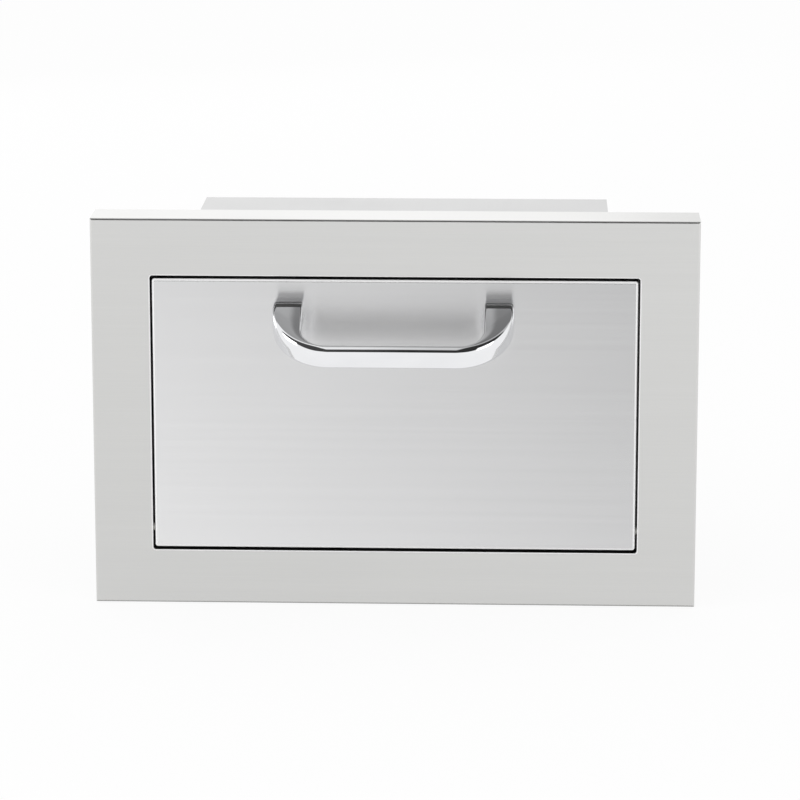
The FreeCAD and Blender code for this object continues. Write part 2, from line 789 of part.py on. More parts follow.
def magnet_catch_body():
    """The moulded housing of the catch."""
    half = catch_width / 2
    body = box(-half, half, catch_front, catch_back, hole_top - catch_height, hole_top)
    cuts = [catch_pocket()]
    for x, y in catch_screw_places():
        cuts.append(bar_z(screw_radius + screw_clearance, x, y, hole_top - catch_height - overcut,
                          hole_top + overcut))
    return body.cut(cuts)


def catch_screws():
    """Screws from below, through the catch, into the shelf."""
    screws = []
    low = hole_top - catch_height
    for x, y in catch_screw_places():
        head = bar_z(screw_head_radius, x, y, low - screw_head_height, low)
        shank = bar_z(screw_radius, x, y, low, hole_top + 2 * catch_sheet)
        screws.append(joined(head, shank))
    return screws


def catch_rivet_set():
    """Rivets of the catch's bracket, with heads in front of the rebate frame."""
    return [rivet_y(x, z, throat_back, rebate_back + catch_sheet) for x, z in catch_rivets]


def door_bumpers():
    """Rubber buttons on the rebate frame, each with a stem through the plate and a retaining bead."""
    bumpers = []
    for x, z in bumper_places:
        face = panel_back + bumper_gap
        pad = bar_y(bumper_radius, x, face, throat_back, z)
        pad = pad.makeFillet(bumper_round, edges_where(pad, lambda p: near(p.y, face)))
        stem = bar_y(bumper_stem_radius, x, throat_back, rebate_back, z)
        bead = bar_y(bumper_stem_radius + bumper_bead, x, rebate_back, rebate_back + bumper_bead_height, z)
        bumpers.append(joined(pad, stem, bead))
    return bumpers


def roll_bracket(side):
    """A plate on the liner's side with a round socket for the rod's stub."""
    plate = box(side * holder_face, side * liner_inner, rod_y - holder_width / 2, rod_y + holder_width / 2,
                rod_z - holder_height / 2, rod_z + holder_height / 2)

    def on_corner(p):
        return near(abs(p.y - rod_y), holder_width / 2) and near(abs(p.z - rod_z), holder_height / 2)

    plate = plate.makeFillet(holder_corner, edges_where(plate, on_corner))
    socket = bar_x(socket_radius, side * socket_face, side * liner_inner, rod_y, rod_z)
    cuts = [bar_x(stub_radius + stub_running, side * (socket_face - overcut), side * holder_face,
                  rod_y, rod_z)]
    for y, z in holder_rivet_places():
        cuts.append(bar_x(rivet_radius + rivet_clearance, side * (holder_face - overcut),
                          side * (liner_inner + overcut), y, z))
    return joined(plate, socket).cut(cuts)


def bracket_rivets():
    """Rivets through the liner's sides and the roll brackets, with heads outside."""
    rivets = []
    for side in sides:
        for y, z in holder_rivet_places():
            rivets.append(rivet_x(side, y, z, liner_half, holder_face))
    return rivets


# Places along the rod, from its fixed left end to its sprung right end
rod_bore = rod_radius - rod_wall
cap_outer_x = -(socket_face - rod_end_gap)
tube_left = cap_outer_x + cap_flange
plunger_shoulder = socket_face - rod_end_gap
tube_right = plunger_shoulder - plunger_travel - collar_flange - rod_end_gap
collar_inner_x = tube_right - collar_length
plunger_head_right = collar_inner_x - plunger_reserve
plunger_head_left = plunger_head_right - plunger_head
seat_right = plunger_head_left - spring_length


def rod_tube():
    """The polished tube that the roll turns on."""
    outer = bar_x(rod_radius, tube_left, tube_right, rod_y, rod_z)
    return outer.cut(bar_x(rod_bore, tube_left - overcut, tube_right + overcut, rod_y, rod_z))


def rod_end_cap():
    """The fixed end: a flange, a plug in the tube and a stub in the left socket."""
    flange = bar_x(rod_radius, cap_outer_x, tube_left, rod_y, rod_z)
    plug = bar_x(rod_bore - plug_clearance, cap_outer_x, tube_left + cap_plug, rod_y, rod_z)
    stub = bar_x(stub_radius, -(holder_face - stub_end_gap), tube_left, rod_y, rod_z)
    return joined(flange, plug, stub)


def rod_spring_seat():
    """The disc in the tube that the spring pushes against."""
    return bar_x(rod_bore - plug_clearance, seat_right - spring_seat, seat_right, rod_y, rod_z)


def rod_collar():
    """The ring in the tube's sprung end, which guides the plunger and keeps its head in."""
    sleeve = bar_x(rod_bore - plug_clearance, collar_inner_x, tube_right, rod_y, rod_z)
    flange = bar_x(rod_radius, tube_right, tube_right + collar_flange, rod_y, rod_z)
    bore = bar_x(plunger_stem_radius + plunger_running, collar_inner_x - overcut,
                 tube_right + collar_flange + overcut, rod_y, rod_z)
    return joined(sleeve, flange).cut(bore)


def rod_plunger():
    """The sprung end: a head in the tube, a stem through the collar, a shoulder and a stub."""
    head = bar_x(rod_bore - plunger_running, plunger_head_left, plunger_head_right, rod_y, rod_z)
    stem = bar_x(plunger_stem_radius, plunger_head_left, plunger_shoulder, rod_y, rod_z)
    stub = bar_x(stub_radius, plunger_head_left, holder_face - stub_end_gap, rod_y, rod_z)
    return joined(head, stem, stub)


def rod_spring():
    """The coil spring between the seat and the plunger's head."""
    height = spring_length - 2 * spring_wire_radius - 2 * spring_end_gap
    helix = Part.makeHelix(height / spring_turns, height, spring_radius)
    start = FreeCAD.Vector(spring_radius, 0, 0)
    wire = Part.Wire(Part.Circle(start, FreeCAD.Vector(0, 1, 0), spring_wire_radius).toShape())
    coil = Part.Wire(helix.Edges).makePipeShell([wire], True, True)
    coil.rotate(FreeCAD.Vector(0, 0, 0), FreeCAD.Vector(0, 1, 0), 90)
    coil.translate(FreeCAD.Vector(seat_right + spring_end_gap + spring_wire_radius, rod_y, rod_z))
    return coil


os.makedirs("parts", exist_ok=True)

# Cabinet
save("face_frame", face_frame())
save("rebate_frame", rebate_frame())
save("rebate_rivets", *rebate_rivets())
save("liner_top", liner_cover(liner_top - liner_sheet, liner_top, 1, top_rivets))
save("liner_bottom", liner_cover(liner_bottom + liner_sheet, liner_bottom, -1, bottom_rivets))
save("liner_left_side", liner_side(-1))
save("liner_right_side", liner_side(1))
save("liner_back", liner_back())
save("liner_rivets", *liner_rivets())
save("hinge_bracket_left", pivot_bracket(-1))
save("hinge_bracket_right", pivot_bracket(1))
save("hinge_pin_left", pivot_pin(-1))
save("hinge_pin_right", pivot_pin(1))
save("hinge_washer_left", pivot_washer(-1))
save("hinge_washer_right", pivot_washer(1))
save("catch_bracket", catch_bracket())
save("catch_bracket_rivets", *catch_rivet_set())
save("magnet_catch_body", magnet_catch_body())
save("catch_magnet", catch_pocket())
save("catch_screws", *catch_screws())
save("door_bumpers", *door_bumpers())
save("roll_bracket_left", roll_bracket(-1))
save("roll_bracket_right", roll_bracket(1))
save("bracket_rivets", *bracket_rivets())

# Door
save("door_skin", door_skin())
save("door_inner_panel", door_inner_panel())
save("inner_panel_screws", *inner_panel_screws())
save("hinge_block_left", pivot_block(-1))
save("hinge_block_right", pivot_block(1))
save("handle", handle())
save("handle_screws", *handle_screws())
save("handle_washers", *handle_washers())
save("strike_plate", strike_plate())
save("strike_rivets", *strike_rivets())
save("stay_left", stay(-1))
save("stay_right", stay(1))
save("stay_rivets", *stay_rivets())
save("stay_stop_pins", *stay_stop_pins())

# Roll rod
save("rod_tube", rod_tube())
save("rod_end_cap", rod_end_cap())
save("rod_spring_seat", rod_spring_seat())
save("rod_collar", rod_collar())
save("rod_spring", rod_spring())
save("rod_plunger", rod_plunger())
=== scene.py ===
# %% [markdown]
# # A built-in cabinet for a roll of paper towels
# The cabinet is folded from stainless sheet: a deep face frame that stands proud of a wall, an inset door
# that tilts down, a sheet box behind it and a sprung rod inside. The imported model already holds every
# piece at its real size. This lesson dresses those pieces, models the few that want finer shapes, and
# sets up a white studio round them.

# %% Load the cabinet
import json
import math
import bpy
from mathutils import Euler, Matrix, Vector


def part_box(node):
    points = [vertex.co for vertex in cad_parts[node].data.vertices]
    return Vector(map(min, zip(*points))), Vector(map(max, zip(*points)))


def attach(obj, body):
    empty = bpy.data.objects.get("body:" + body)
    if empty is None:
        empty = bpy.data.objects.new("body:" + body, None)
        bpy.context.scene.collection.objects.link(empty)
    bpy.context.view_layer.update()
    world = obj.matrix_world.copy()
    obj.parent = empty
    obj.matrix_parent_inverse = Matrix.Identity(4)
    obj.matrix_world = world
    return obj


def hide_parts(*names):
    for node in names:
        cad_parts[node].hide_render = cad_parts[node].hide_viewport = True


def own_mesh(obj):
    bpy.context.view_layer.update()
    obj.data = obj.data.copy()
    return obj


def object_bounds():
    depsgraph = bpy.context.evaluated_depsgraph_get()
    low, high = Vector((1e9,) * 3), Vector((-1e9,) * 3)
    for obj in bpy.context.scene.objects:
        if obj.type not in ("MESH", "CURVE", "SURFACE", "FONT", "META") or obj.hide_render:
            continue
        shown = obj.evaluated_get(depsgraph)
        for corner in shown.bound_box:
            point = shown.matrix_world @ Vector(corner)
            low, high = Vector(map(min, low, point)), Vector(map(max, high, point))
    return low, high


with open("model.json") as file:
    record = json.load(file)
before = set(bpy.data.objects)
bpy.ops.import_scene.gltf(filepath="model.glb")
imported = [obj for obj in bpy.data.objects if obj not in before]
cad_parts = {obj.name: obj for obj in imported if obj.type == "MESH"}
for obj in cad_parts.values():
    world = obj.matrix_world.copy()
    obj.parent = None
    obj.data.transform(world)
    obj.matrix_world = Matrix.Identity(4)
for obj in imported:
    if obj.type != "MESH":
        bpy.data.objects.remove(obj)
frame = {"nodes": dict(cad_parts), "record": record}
cad_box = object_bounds()
mm = 0.001

# %% [markdown]
# ## Sums in a shader
# A finish is a chain of small sums: a noise, times a strength, plus a base. Wiring Math nodes by hand
# hides the sum, so one small class wraps a socket, and Python's own operators add the Math nodes. Its add
# method makes any other node: first its settings, then what feeds its sockets.

# %% A value that flows through a node tree
class Flow:
    """The value of one socket. Arithmetic on it adds Math nodes to the same tree."""

    def __init__(self, socket):
        self.socket = socket

    @classmethod
    def add(cls, tree, kind, settings=None, inputs=None, output=0):
        """Add a node of any kind, make its settings, feed its sockets and return one of its outputs.
        The setting stops gives the places and greys of a colour ramp."""
        made = tree.nodes.new(kind)
        for name, value in (settings or {}).items():
            if name == "stops":
                ramp = made.color_ramp
                while len(ramp.elements) < len(value):
                    ramp.elements.new(0.5)
                for element, (position, shade) in zip(ramp.elements, value):
                    element.position = position
                    element.color = (shade, shade, shade, 1.0)
            else:
                setattr(made, name, value)
        for name, value in (inputs or {}).items():
            if isinstance(value, Flow):
                tree.links.new(value.socket, made.inputs[name])
            else:
                made.inputs[name].default_value = value
        return cls(made.outputs[output])

    def maths(self, operation, first, second):
        """Add a Math node that works on two values."""
        settings = {"operation": operation}
        return Flow.add(self.socket.id_data, "ShaderNodeMath", settings, {0: first, 1: second})

    def __add__(self, other):
        return self.maths("ADD", self, other)

    def __radd__(self, other):
        return self.maths("ADD", other, self)

    def __sub__(self, other):
        return self.maths("SUBTRACT", self, other)

    def __rsub__(self, other):
        return self.maths("SUBTRACT", other, self)

    def __mul__(self, other):
        return self.maths("MULTIPLY", self, other)

    def __rmul__(self, other):
        return self.maths("MULTIPLY", other, self)

    def __abs__(self):
        return self.maths("ABSOLUTE", self, 0.0)

    def held(self):
        """The same value, kept between 0 and 1."""
        return Flow.add(self.socket.id_data, "ShaderNodeClamp", inputs={"Value": self})


# %% [markdown]
# ## The patterns that every finish shares
# Brushed sheet, rolled sheet and moulded plastic all come from noise that is drawn out along some
# direction of the piece. A Mapping node stretches the piece's own Object coordinates, so the pattern
# stays put when the piece moves. The worn edge comes from a Bevel node: where the rounded normal leans
# away from the true one there is an edge, and handling polishes it.

# %% Pattern helpers
bend_margin = 2.0 * mm
bend_gain = 12.0
edge_gain = 3.0


def drawn_noise(tree, scale, detail, roughness=0.6):
    """Noise with so many repeats per metre along X, Y and Z, between 0 and 1 about a middle of 0.5."""
    spot = Flow.add(tree, "ShaderNodeTexCoord", output="Object")
    stretched = Flow.add(tree, "ShaderNodeMapping", inputs={"Vector": spot, "Scale": scale})
    inputs = {"Vector": stretched, "Scale": 1.0, "Detail": detail, "Roughness": roughness}
    return Flow.add(tree, "ShaderNodeTexNoise", inputs=inputs)


def mixed_colour(tree, share, first, second):
    """A colour between two colours."""
    inputs = {0: share, 6: (*first, 1.0), 7: (*second, 1.0)}
    return Flow.add(tree, "ShaderNodeMix", {"data_type": "RGBA"}, inputs, output=2)


def layered_colour(tree, share, under, over):
    """A flowing colour laid over a plain one."""
    inputs = {0: share, 6: (*under, 1.0), 7: over}
    return Flow.add(tree, "ShaderNodeMix", {"data_type": "RGBA"}, inputs, output=2)


def coordinate(tree, kind, axis):
    """One coordinate of a point of the piece, in metres, or of its normal."""
    spot = Flow.add(tree, "ShaderNodeTexCoord", output=kind)
    return Flow.add(tree, "ShaderNodeSeparateXYZ", inputs={0: spot}, output=axis)


def open_sky(tree, distance):
    """1 where a surface lies open, a half along a corner, and near 0 deep in a gap."""
    return Flow.add(tree, "ShaderNodeAmbientOcclusion", {"samples": 8}, {"Distance": distance}, "AO")


def front_bend(tree, half_width, half_height):
    """1 on the bends between a front face and its folded sides, within a half width and a half height."""
    facing = abs(coordinate(tree, "Normal", "Y"))
    beside = (1.0 / bend_margin * (half_width - abs(coordinate(tree, "Object", "X")))).held()
    within = (1.0 / bend_margin * (half_height - abs(coordinate(tree, "Object", "Z")))).held()
    return (bend_gain * facing * (1.0 - facing)).held() * beside * within


def worn_edge(tree, radius):
    """Near 1 on the edges of a piece and 0 on its faces."""
    rounded = Flow.add(tree, "ShaderNodeBevel", {"samples": 6}, {"Radius": radius})
    true = Flow.add(tree, "ShaderNodeNewGeometry", output="Normal")
    settings = {"operation": "DOT_PRODUCT"}
    lean = Flow.add(tree, "ShaderNodeVectorMath", settings, {0: rounded, 1: true}, "Value")
    return (edge_gain * (1.0 - lean)).held()


def new_finish(name, **fixed):
    """A material, its node tree and its Principled shader, with the values that are the same all over."""
    material = bpy.data.materials.new(name)
    material.use_nodes = True
    tree = material.node_tree
    shader = tree.nodes["Principled BSDF"]
    for socket, value in fixed.items():
        shader.inputs[socket.replace("_", " ")].default_value = value
    return material, tree, shader


def feed(tree, shader, height, strength, depth, **flows):
    """Join flows to the shader's sockets, and a height to its normal through a Bump node."""
    for socket, flow in flows.items():
        tree.links.new(flow.socket, shader.inputs[socket.replace("_", " ")])
    relief = {"Height": height, "Strength": strength, "Distance": depth}
    bump = Flow.add(tree, "ShaderNodeBump", inputs=relief)
    tree.links.new(bump.socket, shader.inputs["Normal"])


# %% [markdown]
# ## Brushed stainless
# A belt draws fine scratches along the sheet. Close up they are lines a fraction of a millimetre apart;
# from a step back they only stretch reflections across the grain. So the finish has a fine grain for bump
# and roughness, slow broad streaks for tone, and a slightly cloudy polish. The bends round the opening
# are painted a pale, rough, barely metallic white, which is a painted highlight along each bend. Deep in
# the gaps the colour is painted darker, which is painted shade. The tone of the frame and the door also
# slopes across them, which is painted shade too.

# %% Brushed sheet
# A pale white painted on the bends of the sheet and on the back of the handle: painted highlight and
# painted light.
painted_light_white = (0.95, 0.95, 0.95)
cloud_scale = (9.0, 9.0, 9.0)
sheet_edge = 0.9 * mm
grain_depth = 0.12 * mm
# How far the occlusion looks and how dark the gaps are painted: painted shade in the gaps.
gap_shade_reach = 30.0 * mm
gap_shade_share = 0.30


def brushed_sheet(name, dark, light, roughness, grain, streak, relief=0.10, painted_shade_slope=(0.0, 0.0),
                  painted_bends_within=(0.0, 0.0), **fixed):
    """Stainless sheet, brushed along the axis with the fewest repeats per metre. Its tone falls by a
    painted shade slope per metre to the right and upwards. Its bends within a half width and height are
    painted pale white as a painted highlight, and its deep gaps are painted darker as painted shade."""
    material, tree, shader = new_finish(name, **fixed)
    fine = drawn_noise(tree, grain, detail=6.0, roughness=0.7)
    broad = drawn_noise(tree, streak, detail=3.0)
    cloud = drawn_noise(tree, cloud_scale, detail=2.0)
    edge = worn_edge(tree, sheet_edge)
    tone = 0.33 + 0.18 * fine + 0.10 * broad + 0.06 * cloud + 0.2 * edge
    # Painted shade: the tone slopes across the sheet by a given amount per metre.
    tone = tone - painted_shade_slope[0] * coordinate(tree, "Object", "X") - painted_shade_slope[1] * coordinate(tree, "Object", "Z")
    # Painted highlight: the bends are painted pale white and made rougher and barely metallic.
    bend = front_bend(tree, *painted_bends_within)
    painted_gap_shade = [gap_shade_share * shade for shade in dark]
    clean = layered_colour(tree, 1.0 - bend, painted_light_white, mixed_colour(tree, tone, dark, light))
    # Painted shade: where ambient occlusion finds a gap, the colour turns to a darker copy of the sheet.
    unshaded = (3.0 * (open_sky(tree, gap_shade_reach) - 0.12)).held()
    colour = layered_colour(tree, unshaded, painted_gap_shade, clean)
    gloss = roughness + 0.10 * (fine - 0.5) + 0.06 * (cloud - 0.5) - 0.06 * edge + 0.15 * bend
    metal = 1.0 - 0.9 * bend
    feed(tree, shader, fine, relief, grain_depth, Base_Color=colour, Roughness=gloss, Metallic=metal)
    return material


# The frame is painted lighter towards the top, and the door darker towards the right and the top: painted
# shade.
frame_steel = brushed_sheet("brushed_frame", (0.521, 0.521, 0.511), (0.83, 0.83, 0.82), 0.34,
                            grain=(14.0, 900.0, 1700.0), streak=(3.0, 90.0, 160.0),
                            painted_shade_slope=(0.0, -0.55), painted_bends_within=(0.177, 0.104))
door_steel = brushed_sheet("brushed_door", (0.482, 0.482, 0.487), (0.90, 0.90, 0.905), 0.20,
                           grain=(10.0, 900.0, 1900.0), streak=(2.0, 90.0, 220.0), relief=0.14,
                           painted_shade_slope=(1.10, 0.90), painted_bends_within=(1.0, 1.0),
                           Anisotropic=0.95, Anisotropic_Rotation=0.25)
sheet_steel = brushed_sheet("rolled_sheet", (0.415, 0.415, 0.415), (0.765, 0.765, 0.765), 0.40,
                            grain=(700.0, 16.0, 700.0), streak=(70.0, 4.0, 70.0))
print("brushed finishes:", frame_steel.name, door_steel.name, sheet_steel.name)

# %% [markdown]
# ## Polished metal
# The bow handle is cast, ground and buffed to a mirror. A mirror with no flaw looks computed, so a slow
# ripple is left from the buffing wheel, with hairline scratches that vary the roughness a little. The side
# towards the door is made rougher and painted a pale, barely metallic white like the bends. This is painted
# light, which lightens its reflection in the door.

# %% Polished casting, bright rod and fasteners
polish_edge = 0.4 * mm
polish_relief = 0.06
polish_depth = 0.4 * mm


def polished_metal(name, dark, light, roughness, ripple, hairline, pale_painted_back=0.0):
    """Buffed metal with a slow ripple and hairline scratches. Its back is rougher by some amount and is
    painted pale and less metallic, as painted light for its reflection in the door.
    """
    material, tree, shader = new_finish(name)
    slow = drawn_noise(tree, ripple, detail=1.0)
    scratch = drawn_noise(tree, hairline, detail=5.0, roughness=0.75)
    edge = worn_edge(tree, polish_edge)
    # Painted light: the back, which faces the door, is painted pale, barely metallic and rougher, so that
    # its reflection in the door is lighter.
    back = pale_painted_back * (4.0 * (coordinate(tree, "Normal", "Y") - 0.4)).held()
    buffed = mixed_colour(tree, 0.6 * slow + 0.4 * scratch + 0.3 * edge, dark, light)
    metal = (1.0 - 2.0 * back).held()
    colour = layered_colour(tree, metal, painted_light_white, buffed)
    gloss = roughness + 0.05 * (scratch - 0.5) + 0.02 * (slow - 0.5) + back
    height = slow + 0.12 * scratch
    feed(tree, shader, height, polish_relief, polish_depth,
         Base_Color=colour, Roughness=gloss, Metallic=metal)
    return material


handle_chrome = polished_metal("buffed_handle", (0.80, 0.805, 0.82), (0.91, 0.915, 0.93), 0.055,
                               ripple=(38.0, 60.0, 60.0), hairline=(60.0, 1400.0, 1400.0), pale_painted_back=0.45)
rod_steel = polished_metal("bright_rod", (0.62, 0.62, 0.63), (0.78, 0.78, 0.79), 0.20,
                           ripple=(30.0, 30.0, 30.0), hairline=(15.0, 1600.0, 1600.0))
fastener_steel = polished_metal("plain_fastener", (0.48, 0.48, 0.49), (0.70, 0.70, 0.70), 0.30,
                                ripple=(160.0, 160.0, 160.0), hairline=(900.0, 900.0, 900.0))
print("polished finishes:", handle_chrome.name, rod_steel.name, fastener_steel.name)

# %% [markdown]
# ## Moulded and rubber pieces
# The hinge blocks and the rod's ends are off-white nylon, the catch is black plastic and the door closes
# on rubber buttons. Each has a fine skin from its mould: mottled and waxy on nylon, stippled on the
# catch, and dull with a dusty bloom on rubber. The catch's magnet is sintered, and gets the same kind of
# skin.

# %% Moulded finishes
mould_edge = 0.5 * mm
mould_relief = 0.35


def moulded(name, dark, light, roughness, mottle, skin, depth, **fixed):
    """Moulded plastic or rubber: a slow mottle in the colour and a fine skin in the bump."""
    material, tree, shader = new_finish(name, **fixed)
    slow = drawn_noise(tree, (mottle, mottle, mottle), detail=3.0)
    fine = drawn_noise(tree, (skin, skin, skin), detail=3.0)
    edge = worn_edge(tree, mould_edge)
    colour = mixed_colour(tree, 0.7 * slow + 0.2 * fine + 0.35 * edge, dark, light)
    gloss = roughness + 0.16 * (fine - 0.5) + 0.10 * (slow - 0.5) - 0.08 * edge
    feed(tree, shader, fine, mould_relief, depth, Base_Color=colour, Roughness=gloss)
    return material


white_nylon = moulded("waxy_nylon", (0.70, 0.68, 0.62), (0.84, 0.83, 0.79), 0.42,
                      mottle=70.0, skin=1500.0, depth=0.15 * mm)
black_plastic = moulded("stippled_plastic", (0.018, 0.018, 0.019), (0.055, 0.055, 0.057), 0.45,
                        mottle=90.0, skin=2200.0, depth=0.3 * mm)
bumper_rubber = moulded("dull_rubber", (0.020, 0.020, 0.020), (0.075, 0.072, 0.068), 0.72,
                        mottle=120.0, skin=2600.0, depth=0.3 * mm)
magnet_grey = moulded("sintered_magnet", (0.050, 0.050, 0.053), (0.16, 0.16, 0.165), 0.50,
                      mottle=260.0, skin=1900.0, depth=0.2 * mm, Metallic=0.6)
print("moulded finishes:", white_nylon.name, black_plastic.name, bumper_rubber.name, magnet_grey.name)

# %% [markdown]
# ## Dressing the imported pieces
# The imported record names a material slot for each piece, so one loop gives every piece its finish.

# %% Put the finishes on the cabinet's own pieces
finishes = {"frame_steel": frame_steel, "door_steel": door_steel, "sheet_steel": sheet_steel,
            "handle_chrome": handle_chrome, "rod_steel": rod_steel, "fastener_steel": fastener_steel,
            "white_nylon": white_nylon, "black_plastic": black_plastic, "bumper_rubber": bumper_rubber,
            "magnet_grey": magnet_grey}
for entry in frame["record"]["subparts"]:
    piece = frame["nodes"][entry["node"]]
    piece.data.materials.clear()
    piece.data.materials.append(finishes[entry["material_slot"]])

# %% [markdown]
# ## Modelling by hand
# Each new piece starts as a primitive, which is shaped in edit mode and finished with its faces turned
# outwards. A round piece is drawn out of a disc ring by ring, as on a lathe. Rivets and screws are
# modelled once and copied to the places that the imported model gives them.

# %% Helpers for modelling
smooth_below = math.radians(35.0)
turned_sides = 32


def nothing_selected():
    """Leave nothing selected, so that an operator acts only on what comes next."""
    bpy.ops.object.select_all(action="DESELECT")


def nothing_marked(mesh):
    """Leave no vertex, edge or face of a mesh selected for edit mode."""
    for part in (mesh.vertices, mesh.edges, mesh.polygons):
        part.foreach_set("select", [False] * len(part))


def only(piece):
    """Make one piece the selected and active one."""
    nothing_selected()
    piece.select_set(True)
    bpy.context.view_layer.objects.active = piece


def as_one(pieces):
    """Join pieces into the first of them."""
    only(pieces[0])
    for piece in pieces[1:]:
        piece.select_set(True)
    bpy.ops.object.join()
    return pieces[0]


def finished(piece, name):
    """Settle a piece's place, turn its faces outwards and smooth its round ones."""
    only(piece)
    bpy.ops.object.transform_apply(location=True, rotation=True, scale=True)
    bpy.ops.object.mode_set(mode="EDIT")
    bpy.ops.mesh.select_all(action="SELECT")
    bpy.ops.mesh.normals_make_consistent(inside=False)
    bpy.ops.object.mode_set(mode="OBJECT")
    bpy.ops.object.shade_smooth_by_angle(angle=smooth_below)
    piece.name = name
    return piece


def dress(piece, slot, body, node):
    """Give a finished piece its finish and its body, and let it stand for a node."""
    piece.data.materials.clear()
    piece.data.materials.append(finishes[slot])
    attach(piece, body)
    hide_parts(node)
    print(piece.name, "has", len(piece.data.polygons), "faces and stands for", node)


def turned(profile):
    """A round piece along Z: a disc drawn out ring by ring through a profile of radii and heights."""
    radius, height = profile[0]
    nothing_selected()
    bpy.ops.mesh.primitive_circle_add(vertices=turned_sides, radius=radius, fill_type="NGON",
                                      location=(0, 0, height))
    piece = bpy.context.object
    bpy.ops.object.transform_apply(location=True)
    bpy.ops.object.mode_set(mode="EDIT")
    bpy.ops.mesh.select_all(action="SELECT")
    for next_radius, next_height in profile[1:]:
        bpy.ops.mesh.extrude_region_move(TRANSFORM_OT_translate={"value": (0, 0, next_height - height)})
        growth = next_radius / radius
        bpy.ops.transform.resize(value=(growth, growth, 1.0), center_override=(0, 0, next_height))
        radius, height = next_radius, next_height
    bpy.ops.object.mode_set(mode="OBJECT")
    return piece


# %% [markdown]
# ## The bow handle
# The handle is cast in one piece: each leg leaves the door level, bends down and sweeps round into the
# grip. The legs are broad and the grip is thin, so the flat top narrows through the corner to a sickle:
# the outer and the inner corner turn about centres of their own. A curve with one bevel can't do that, so
# the bow is lofted: one rounded section after another is set along half of it, the sections are bridged,
# and a mirror makes the other half. The grip's top leans a little more than the corners', so it catches a
# light of its own, and the rounding of the outer top edge swells through the corner, where a hand slides
# round it.

# %% Sizes of the bow
foot_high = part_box("handle")[1]
leg_outer = foot_high.x
leg_inner = 64.0 * mm
door_face = foot_high.y
foot_top = foot_high.z
bow_height = 17.0 * mm
bow_lead = 14.0 * mm
bow_bend = bow_height + 1.0 * mm
bow_tilt = math.radians(30.0)
grip_twist = math.radians(6.0)
grip_extra = 1.15 * mm
twist_power = 4
bow_reach = 46.1 * mm
bow_grip = 7.0 * mm
outer_round = 41.0 * mm
inner_round = 17.0 * mm
bow_brow = 3.0 * mm
brow_swell = 4.0 * mm
bow_chin = 3.0 * mm
inner_edge = 1.6 * mm
rounding_steps = 8
bend_steps = 8
corner_steps = 20


def level_to_droop(lean):
    """Where the top of a leg is, seen from the side, once it has bent down by some angle."""
    return door_face - bow_lead - bow_bend * math.sin(lean), foot_top - bow_bend * (1 - math.cos(lean))


def on_droop(x, along):
    """A point of the bow's drooping top plane, so far along it from the bend."""
    y, z = level_to_droop(bow_tilt)
    return Vector((x, y - along * math.cos(bow_tilt), z - along * math.sin(bow_tilt)))


def on_corner(leg_side, reach, radius, turn):
    """A point of the round corner that leads from one side of a leg into the grip, after some turn."""
    return on_droop(leg_side - radius * (1 - math.cos(turn)), reach - radius * (1 - math.sin(turn)))


def bow_stations():
    """The outer and inner top corner, lean, height and brow of each section, from foot to mid grip."""
    foot = Vector((leg_outer, door_face, foot_top)), Vector((leg_inner, door_face, foot_top))
    stations = [(*foot, 0.0, bow_height, bow_brow)]
    for step in range(bend_steps + 1):
        lean = bow_tilt * step / bend_steps
        y, z = level_to_droop(lean)
        stations.append((Vector((leg_outer, y, z)), Vector((leg_inner, y, z)), lean, bow_height, bow_brow))
    for step in range(corner_steps + 1):
        turn = step / corner_steps * math.pi / 2
        outer = on_corner(leg_outer, bow_reach, outer_round, turn)
        inner = on_corner(leg_inner, bow_reach - bow_grip, inner_round, turn)
        share = (step / corner_steps) ** twist_power
        twist = grip_twist * share
        outer = inner + Matrix.Rotation(twist, 3, "X") @ (outer - inner)
        brow = bow_brow + brow_swell * math.sin(2 * turn)
        stations.append((outer, inner, bow_tilt + twist, bow_height + grip_extra * share, brow))
    middle = Vector((0.0, *outer.yz)), Vector((0.0, *inner.yz))
    stations.append((*middle, bow_tilt + grip_twist, bow_height + grip_extra, bow_brow))
    return stations


def bow_section(outer, inner, lean, height, brow):
    """A plane with each corner rounded to a radius of its own, set on edge between two top corners."""
    across_bow = outer - inner
    down = Vector((0.0, math.sin(lean), -math.cos(lean)))
    nothing_selected()
    bpy.ops.mesh.primitive_plane_add(size=1.0)
    section = bpy.context.object
    bpy.ops.object.mode_set(mode="EDIT")
    bpy.ops.mesh.select_mode(type="VERT")
    bpy.ops.transform.resize(value=(across_bow.length, height, 1.0))
    bpy.ops.object.mode_set(mode="OBJECT")
    radii = {(1, 1): brow, (1, -1): bow_chin, (-1, 1): inner_edge, (-1, -1): inner_edge}
    for (outward, upward), radius in radii.items():
        corner = max(section.data.vertices, key=lambda v: outward * v.co.x + upward * v.co.y)
        nothing_marked(section.data)
        corner.select = True
        bpy.ops.object.mode_set(mode="EDIT")
        bpy.ops.mesh.bevel(offset=radius, offset_type="OFFSET", segments=rounding_steps, affect="VERTICES")
        bpy.ops.object.mode_set(mode="OBJECT")
    axis = across_bow.normalized()
    turn = Matrix((axis, -down, axis.cross(-down))).transposed()
    section.matrix_world = Matrix.Translation((outer + inner + down * height) / 2) @ turn.to_4x4()
    only(section)
    bpy.ops.object.transform_apply(location=True, rotation=True, scale=True)
    return section


